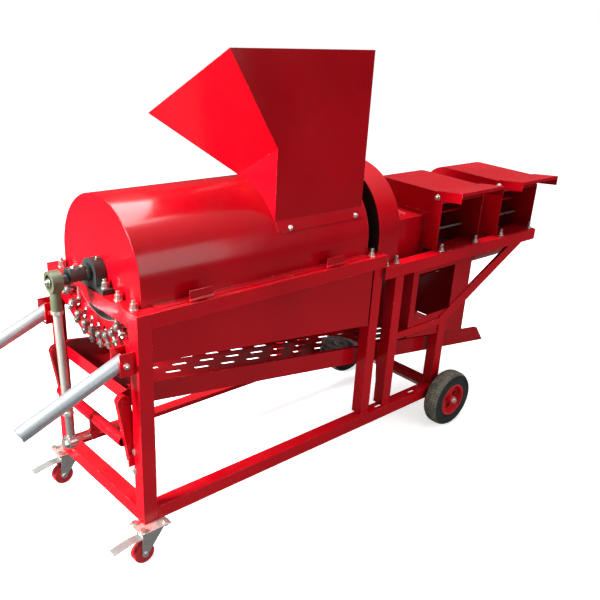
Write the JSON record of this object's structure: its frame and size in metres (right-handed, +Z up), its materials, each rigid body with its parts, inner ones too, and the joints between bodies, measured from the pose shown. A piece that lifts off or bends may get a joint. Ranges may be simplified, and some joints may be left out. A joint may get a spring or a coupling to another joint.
{
  "type": "chestnut sheller",
  "caption": "Wheeled chestnut sheller: beater drum under a hinged hood with feed hopper, adjustable concave, shaking sieve and husk fans on an angle-steel frame.",
  "frame": {"origin": "on the floor, below the middle of the machine's length and width", "axes": "+X from the crank end to the fan end, +Y to the far side away from the hinges and fan mouths, +Z up"},
  "size_m": [2.5394, 0.776, 1.6231],
  "materials": {
    "red_paint": "gloss",
    "zinc": "satin",
    "galvanised": "satin",
    "black_cast": "satin",
    "olive_iron": "satin",
    "bright_steel": "satin",
    "tyre_rubber": "matte",
    "red_wheel": "gloss",
    "grey_iron": "matte"
  },
  "bodies": {
    "frame": {"side_frame_near": "red_paint", "side_frame_far": "red_paint", "front_bearing_bridge": "red_paint", "rear_bearing_bridge": "red_paint", "cross_bars": "red_paint", "rear_axle": "bright_steel", "caster_plate_near": "zinc", "caster_plate_far": "zinc", "front_bearing": "black_cast", "rear_bearing": "black_cast", "rocker_pivot_near": "red_paint", "rocker_pivot_far": "red_paint", "mill_casing": "red_paint", "husker_sheet": "galvanised", "concave_rods": "bright_steel", "rod_adjusters": "zinc", "pulley_guard": "red_paint", "fan_drive_cover": "red_paint", "fan_housing_front": "red_paint", "fan_housing_rear": "red_paint", "suction_duct": "red_paint", "frame_fasteners": "zinc"},
    "rotor": {"drum_shaft": "bright_steel", "beater_drum": "grey_iron", "drum_pulley": "black_cast", "crank_hub": "black_cast"},
    "conrod": {"crank_rod_end": "olive_iron", "connecting_rod": "bright_steel", "lower_rod_end": "bright_steel", "rocker_stud": "bright_steel"},
    "front_rocker": {"rocker_arm_near": "red_paint", "rocker_arm_far": "red_paint", "rocker_tube": "red_paint", "drive_lever": "red_paint"},
    "rear_rocker": {"rear_rocker_near": "red_paint", "rear_rocker_far": "red_paint"},
    "sieve": {"sieve_pan": "red_paint", "sieve_deck": "red_paint", "motor_pulley": "black_cast"},
    "hood": {"drum_hood": "red_paint", "feed_hopper": "red_paint"},
    "fan_rotor": {"fan_shaft": "bright_steel", "fan_pulley": "black_cast", "impeller_front": "galvanised", "impeller_rear": "galvanised"},
    "flap_front": {"flap_front": "red_paint"},
    "flap_rear": {"flap_rear": "red_paint"},
    "handle_near": {"push_handle_near": "galvanised"},
    "caster_fork_near": {"caster_fork_near": "zinc"},
    "caster_wheel_near": {"caster_wheel_near": "red_wheel"},
    "caster_pedal_near": {"caster_pedal_near": "zinc"},
    "rear_wheel_near": {"rear_tyre_near": "tyre_rubber", "rear_rim_near": "red_paint"},
    "handle_far": {"push_handle_far": "galvanised"},
    "caster_fork_far": {"caster_fork_far": "zinc"},
    "caster_wheel_far": {"caster_wheel_far": "red_wheel"},
    "caster_pedal_far": {"caster_pedal_far": "zinc"},
    "rear_wheel_far": {"rear_tyre_far": "tyre_rubber", "rear_rim_far": "red_paint"}
  },
  "joints": [
    {"name": "drum_spin", "type": "hinge", "parent": "frame", "child": "rotor", "pos_m": [-0.90231, 0, 0.944], "axis": [1, 0, 0], "continuous": true},
    {"name": "rod_swing", "type": "hinge", "parent": "rotor", "child": "conrod", "pos_m": [-1.01231, 0, 0.934], "axis": [1, 0, 0], "continuous": true},
    {"name": "sieve_shake", "type": "hinge", "parent": "frame", "child": "rear_rocker", "pos_m": [0.31469, 0, 0.224], "axis": [0, 1, 0], "range_deg": [0, 10]},
    {"name": "sieve_level", "type": "hinge", "parent": "rear_rocker", "child": "sieve", "pos_m": [0.28969, 0, 0.443], "axis": [0, 1, 0], "range_deg": [-10, 0]},
    {"name": "rocker_swing", "type": "hinge", "parent": "frame", "child": "front_rocker", "pos_m": [-0.90031, 0, 0.371], "axis": [0, 1, 0], "range_deg": [0, 10]},
    {"name": "fan_spin", "type": "hinge", "parent": "frame", "child": "fan_rotor", "pos_m": [0.59769, 0, 0.813], "axis": [1, 0, 0], "continuous": true},
    {"name": "hood_open", "type": "hinge", "parent": "frame", "child": "hood", "pos_m": [-0.40231, -0.279, 0.897], "axis": [1, 0, 0], "range_deg": [0, 70]},
    {"name": "flap_front_tilt", "type": "hinge", "parent": "frame", "child": "flap_front", "pos_m": [0.68269, -0.234, 1.062], "axis": [1, 0, 0], "range_deg": [0, 40]},
    {"name": "flap_rear_tilt", "type": "hinge", "parent": "frame", "child": "flap_rear", "pos_m": [1.12019, -0.234, 1.062], "axis": [1, 0, 0], "range_deg": [0, 40]},
    {"name": "handle_near_lift", "type": "hinge", "parent": "frame", "child": "handle_near", "pos_m": [-0.93631, -0.245, 0.737], "axis": [0, 1, 0], "range_deg": [0, 60]},
    {"name": "caster_near_swivel", "type": "hinge", "parent": "frame", "child": "caster_fork_near", "pos_m": [-0.88081, -0.29, 0.12], "axis": [0, 0, 1], "continuous": true},
    {"name": "caster_near_roll", "type": "hinge", "parent": "caster_fork_near", "child": "caster_wheel_near", "pos_m": [-0.91381, -0.29, 0.0375], "axis": [0, 1, 0], "continuous": true},
    {"name": "brake_near_press", "type": "hinge", "parent": "caster_fork_near", "child": "caster_pedal_near", "pos_m": [-0.91181, -0.29, 0.1], "axis": [0, -1, 0], "range_deg": [0, 12]},
    {"name": "wheel_near_roll", "type": "hinge", "parent": "frame", "child": "rear_wheel_near", "pos_m": [0.66869, -0.336, 0.13], "axis": [0, 1, 0], "continuous": true},
    {"name": "handle_far_lift", "type": "hinge", "parent": "frame", "child": "handle_far", "pos_m": [-0.93631, 0.245, 0.737], "axis": [0, 1, 0], "range_deg": [0, 60]},
    {"name": "caster_far_swivel", "type": "hinge", "parent": "frame", "child": "caster_fork_far", "pos_m": [-0.88081, 0.29, 0.12], "axis": [0, 0, 1], "continuous": true},
    {"name": "caster_far_roll", "type": "hinge", "parent": "caster_fork_far", "child": "caster_wheel_far", "pos_m": [-0.91381, 0.29, 0.0375], "axis": [0, 1, 0], "continuous": true},
    {"name": "brake_far_press", "type": "hinge", "parent": "caster_fork_far", "child": "caster_pedal_far", "pos_m": [-0.91181, 0.29, 0.1], "axis": [0, -1, 0], "range_deg": [0, 12]},
    {"name": "wheel_far_roll", "type": "hinge", "parent": "frame", "child": "rear_wheel_far", "pos_m": [0.66869, 0.336, 0.13], "axis": [0, 1, 0], "continuous": true}
  ],
  "couplings": [
    {"joint": "rod_swing", "follows": "drum_spin", "ratio": -1},
    {"joint": "sieve_level", "follows": "sieve_shake", "ratio": -1},
    {"joint": "rocker_swing", "follows": "sieve_shake", "ratio": 1}
  ]
}
